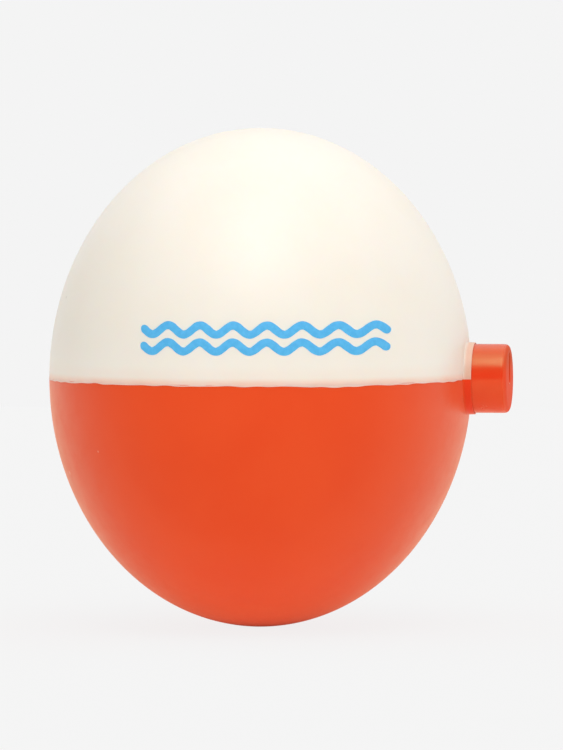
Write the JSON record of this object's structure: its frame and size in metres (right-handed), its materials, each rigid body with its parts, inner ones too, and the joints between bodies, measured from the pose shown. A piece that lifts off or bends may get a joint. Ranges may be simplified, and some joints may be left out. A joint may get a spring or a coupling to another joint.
{
  "type": "push-button bobber float",
  "caption": "Two-tone fishing bobber float: hollow split shell with a sprung push button in a collar and a wire line hook at each end.",
  "frame": {"origin": "where the line axis leaves the tail end of the shell, at the tail hook", "axes": "+X along the line axis from the tail hook to the push button, +Z toward the upper shell, square to the parting plane"},
  "size_m": [0.0467, 0.0508, 0.0508],
  "materials": {
    "white_plastic": "moulded, satin gloss, slightly translucent",
    "orange_plastic": "moulded, satin gloss",
    "button_plastic": "moulded, satin gloss",
    "brass_wire": "drawn wire",
    "spring_steel": "drawn wire",
    "blue_ink": "pad-printed ink"
  },
  "bodies": {
    "float_body": {"upper_shell": "white_plastic", "lower_shell": "orange_plastic", "return_spring": "spring_steel", "printed_waves": "blue_ink"},
    "wire": {"line_wire": "brass_wire"},
    "button": {"push_button": "button_plastic"}
  },
  "joints": [
    {"name": "wire_slide", "type": "slide", "parent": "float_body", "child": "wire", "axis": [-1, 0, 0], "range_m": [0, 0.0026], "stiffness_N_per_m": 400, "springref_m": -0.002, "deforming": ["return_spring"]},
    {"name": "button_slide", "type": "slide", "parent": "wire", "child": "button", "axis": [-1, 0, 0], "range_m": [0, 0.0026], "stiffness_N_per_m": 400, "springref_m": -0.002, "deforming": ["return_spring"]}
  ]
}
